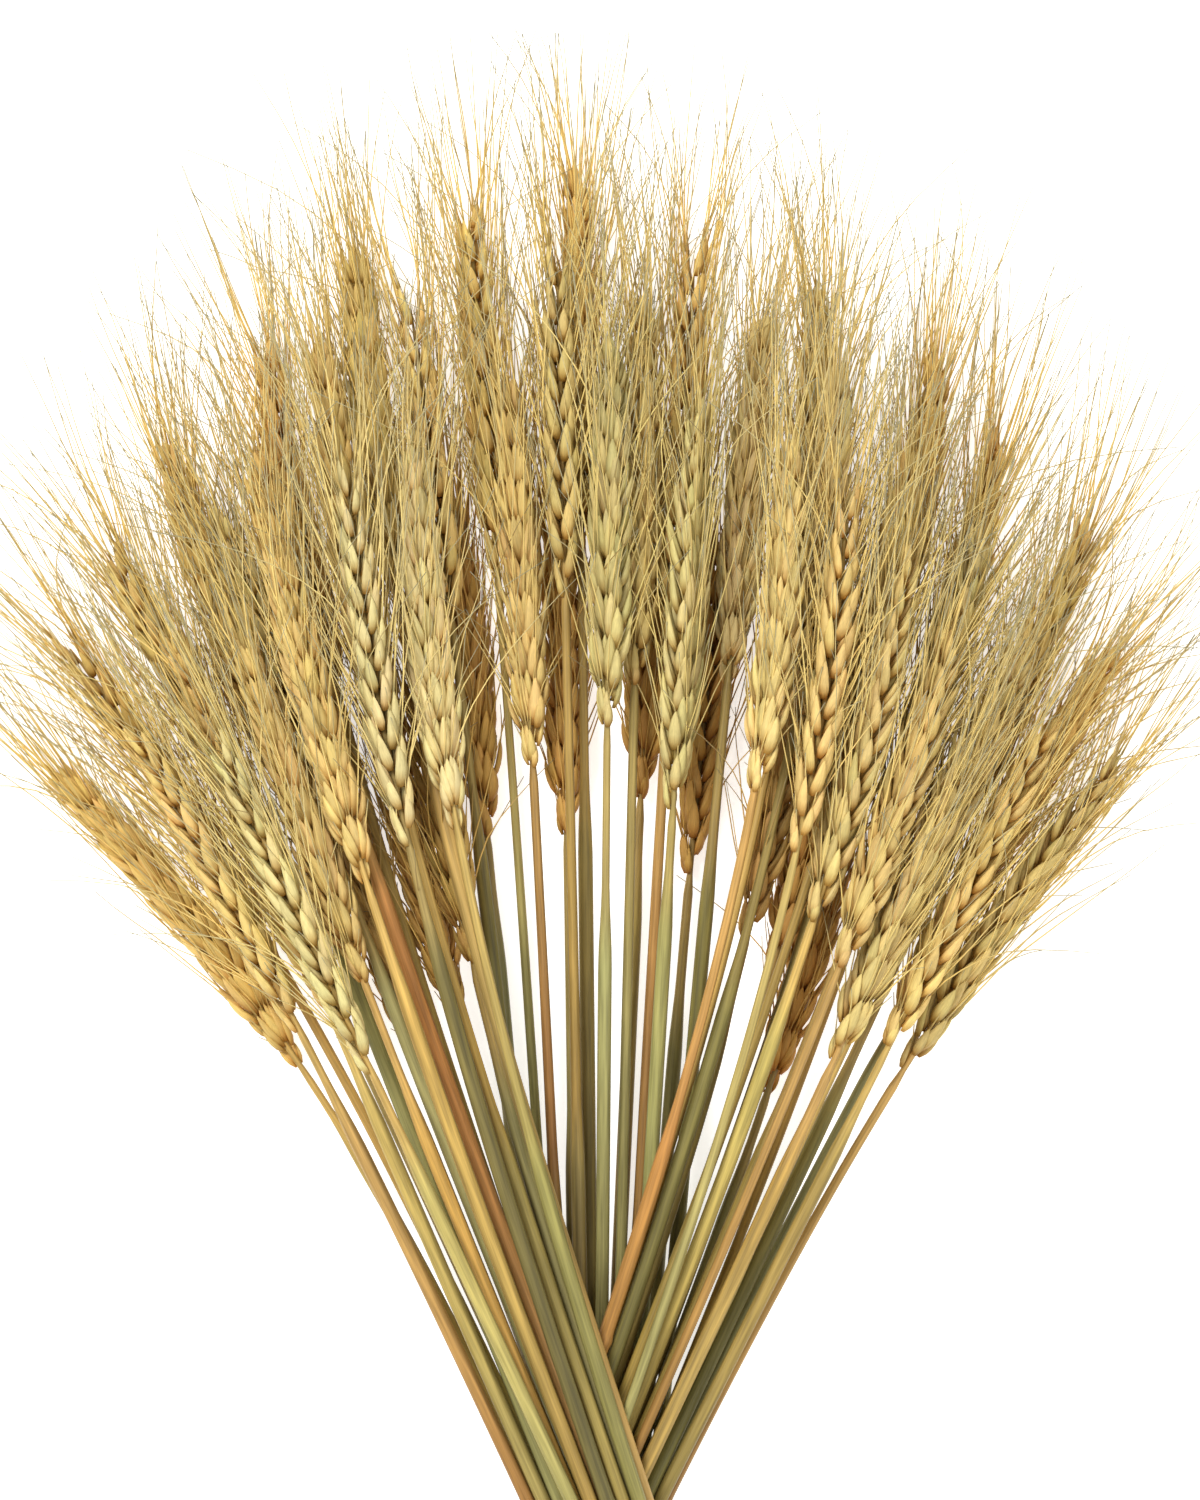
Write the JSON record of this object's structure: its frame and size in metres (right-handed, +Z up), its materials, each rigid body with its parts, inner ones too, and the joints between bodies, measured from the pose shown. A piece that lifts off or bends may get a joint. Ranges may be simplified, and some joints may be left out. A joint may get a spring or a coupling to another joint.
{
  "type": "bunch of wheat ears",
  "caption": "Dried bearded wheat stalks in a fanned bunch, crossed and tied with twine at the neck, lying flat as table decoration.",
  "frame": {"origin": "on the table, in the middle of the flat underside of the twine tie", "axes": "+Z up from the table, +Y along the bunch from the tie to the ears, +X across the fan to the right"},
  "size_m": [0.3673, 0.4896, 0.0675],
  "materials": {
    "straw_pale": "dry pale straw, faintly glossy along the stem",
    "straw_gold": "dry golden straw, faintly glossy along the stem",
    "straw_amber": "dry amber-brown straw, faintly glossy along the stem",
    "twine": "twisted natural twine, matt and fibrous"
  },
  "bodies": {
    "root": {"stalk_01": "straw_gold", "stalk_02": "straw_gold", "stalk_03": "straw_gold", "stalk_04": "straw_gold", "stalk_05": "straw_gold", "stalk_06": "straw_amber", "stalk_07": "straw_gold", "stalk_08": "straw_pale", "stalk_09": "straw_gold", "stalk_10": "straw_amber", "stalk_11": "straw_amber", "stalk_12": "straw_amber", "stalk_13": "straw_gold", "stalk_14": "straw_gold", "stalk_15": "straw_amber", "stalk_16": "straw_amber", "stalk_17": "straw_pale", "stalk_18": "straw_amber", "stalk_19": "straw_gold", "stalk_20": "straw_gold", "stalk_21": "straw_amber", "stalk_22": "straw_pale", "stalk_23": "straw_amber", "stalk_24": "straw_gold", "stalk_25": "straw_pale", "stalk_26": "straw_pale", "stalk_27": "straw_pale", "stalk_28": "straw_gold", "stalk_29": "straw_gold", "stalk_30": "straw_gold", "stalk_31": "straw_amber", "stalk_32": "straw_gold", "stalk_33": "straw_amber", "stalk_34": "straw_gold", "stalk_35": "straw_pale", "stalk_36": "straw_amber", "stalk_37": "straw_gold", "stalk_38": "straw_amber", "stalk_39": "straw_gold", "stalk_40": "straw_amber", "stalk_41": "straw_gold", "stalk_42": "straw_gold", "stalk_43": "straw_gold", "stalk_44": "straw_gold", "stalk_45": "straw_amber", "stalk_46": "straw_gold", "stalk_47": "straw_gold", "stalk_48": "straw_amber", "stalk_49": "straw_pale", "stalk_50": "straw_pale", "stalk_51": "straw_amber", "stalk_52": "straw_pale", "twine_tie": "twine"}
  },
  "joints": []
}
